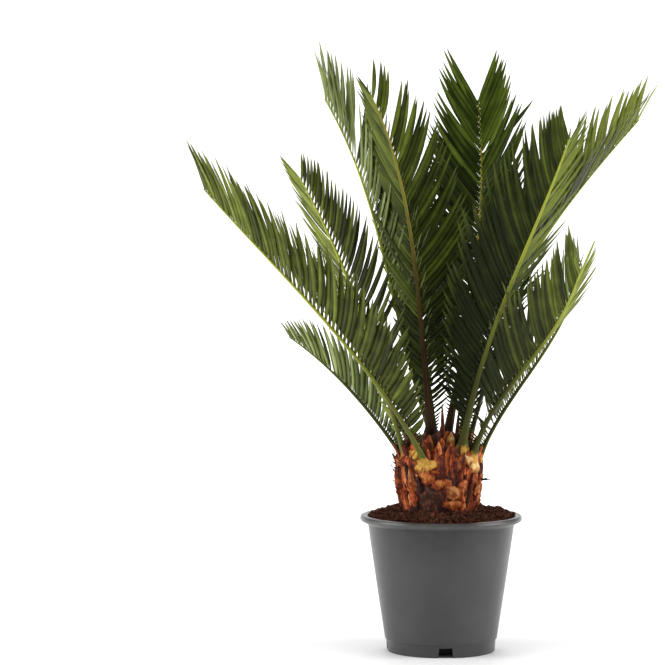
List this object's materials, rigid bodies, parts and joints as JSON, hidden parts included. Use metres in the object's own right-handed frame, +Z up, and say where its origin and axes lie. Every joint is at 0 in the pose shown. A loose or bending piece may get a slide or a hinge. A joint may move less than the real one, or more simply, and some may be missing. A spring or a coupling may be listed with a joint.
{
  "type": "potted sago palm",
  "caption": "Young sago palm: a crown of stiff feather fronds on a short scaly barrel trunk, rooted in peat in a round tapered plastic nursery pot.",
  "frame": {"origin": "centre of the pot's flat underside, on the surface that it stands on", "axes": "+Z up along the pot's axis, +X to the right as the picture shows the plant, -Y towards the viewer"},
  "size_m": [0.4884, 0.422, 0.6355],
  "materials": {
    "plastic": "satin moulded, dark grey",
    "peat": "loose dark brown peat",
    "bark": "scaly orange brown leaf bases",
    "leaf": "stiff leaflets with a dull gloss"
  },
  "bodies": {
    "root": {"pot": "plastic", "peat": "peat", "trunk": "bark", "frond_left_long": "leaf", "frond_left_middle": "leaf", "frond_left_low": "leaf", "frond_left_tall": "leaf", "frond_front_left": "leaf", "frond_centre": "leaf", "frond_right_tall": "leaf", "frond_front_right": "leaf", "frond_right_low": "leaf", "frond_right_slim": "leaf", "frond_back_right": "leaf", "frond_back": "leaf", "frond_back_left": "leaf"}
  },
  "joints": []
}
